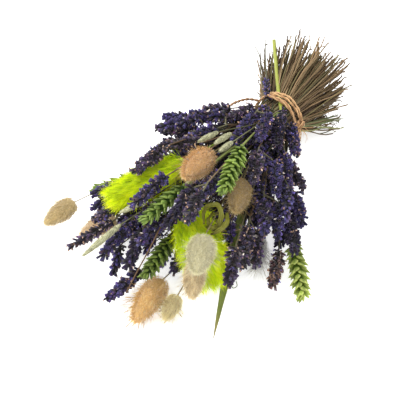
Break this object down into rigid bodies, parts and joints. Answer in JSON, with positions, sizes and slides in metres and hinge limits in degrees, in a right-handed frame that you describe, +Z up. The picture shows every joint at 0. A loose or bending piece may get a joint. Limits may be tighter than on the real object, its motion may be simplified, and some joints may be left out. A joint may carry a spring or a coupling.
{
  "type": "bunch of dried lavender mixed with grasses",
  "caption": "Tied bunch of dried lavender lying on its side, mixed with bunny-tail grass, green wheat, canary grass and dyed plumes, with a broom of cut stems behind the twine.",
  "frame": {"origin": "under the middle of the whole bunch, on the surface it lies on", "axes": "+Z up, +Y along the bunch towards the cut ends of the stems, so the flower heads point to -Y"},
  "size_m": [0.2003, 0.3322, 0.0877],
  "materials": {
    "lavender_heads": "dry, matt, felted",
    "bunny_tails": "soft, matt awns",
    "wheat_ears": "dry, slightly glossy",
    "canary_grass": "dry, matt",
    "lime_plumes": "dyed fibres, matt",
    "grass_blade": "dry leaf, satin",
    "curled_bract": "dry leaf, satin",
    "stems": "dry, ribbed, matt",
    "green_straw": "smooth straw",
    "twine": "raffia, fibrous, matt"
  },
  "bodies": {
    "root": {"lavender_01": "lavender_heads", "lavender_02": "lavender_heads", "lavender_03": "lavender_heads", "lavender_04": "lavender_heads", "lavender_05": "lavender_heads", "lavender_06": "lavender_heads", "lavender_07": "lavender_heads", "lavender_08": "lavender_heads", "lavender_09": "lavender_heads", "lavender_10": "lavender_heads", "lavender_11": "lavender_heads", "lavender_12": "lavender_heads", "lavender_13": "lavender_heads", "lavender_14": "lavender_heads", "lavender_15": "lavender_heads", "lavender_16": "lavender_heads", "lavender_17": "lavender_heads", "lavender_18": "lavender_heads", "lavender_19": "lavender_heads", "lavender_20": "lavender_heads", "lavender_21": "lavender_heads", "lavender_22": "lavender_heads", "lavender_23": "lavender_heads", "lavender_24": "lavender_heads", "lavender_25": "lavender_heads", "lavender_26": "lavender_heads", "lavender_27": "lavender_heads", "lavender_28": "lavender_heads", "lavender_29": "lavender_heads", "lavender_30": "lavender_heads", "lavender_31": "lavender_heads", "lavender_32": "lavender_heads", "lavender_33": "lavender_heads", "bunny_tail_01": "bunny_tails", "bunny_tail_02": "bunny_tails", "bunny_tail_03": "bunny_tails", "bunny_tail_04": "bunny_tails", "bunny_tail_05": "bunny_tails", "bunny_tail_06": "bunny_tails", "bunny_tail_07": "bunny_tails", "bunny_tail_08": "bunny_tails", "bunny_tail_09": "bunny_tails", "wheat_ear_01": "wheat_ears", "wheat_ear_02": "wheat_ears", "wheat_ear_03": "wheat_ears", "wheat_ear_04": "wheat_ears", "wheat_ear_05": "wheat_ears", "canary_grass_01": "canary_grass", "canary_grass_02": "canary_grass", "canary_grass_03": "canary_grass", "canary_grass_04": "canary_grass", "canary_grass_05": "canary_grass", "canary_grass_06": "canary_grass", "lime_plume_01": "lime_plumes", "lime_plume_02": "lime_plumes", "grass_blade_01": "grass_blade", "curled_bract_01": "curled_bract", "stems": "stems", "green_straw": "green_straw", "twine": "twine"}
  },
  "joints": []
}
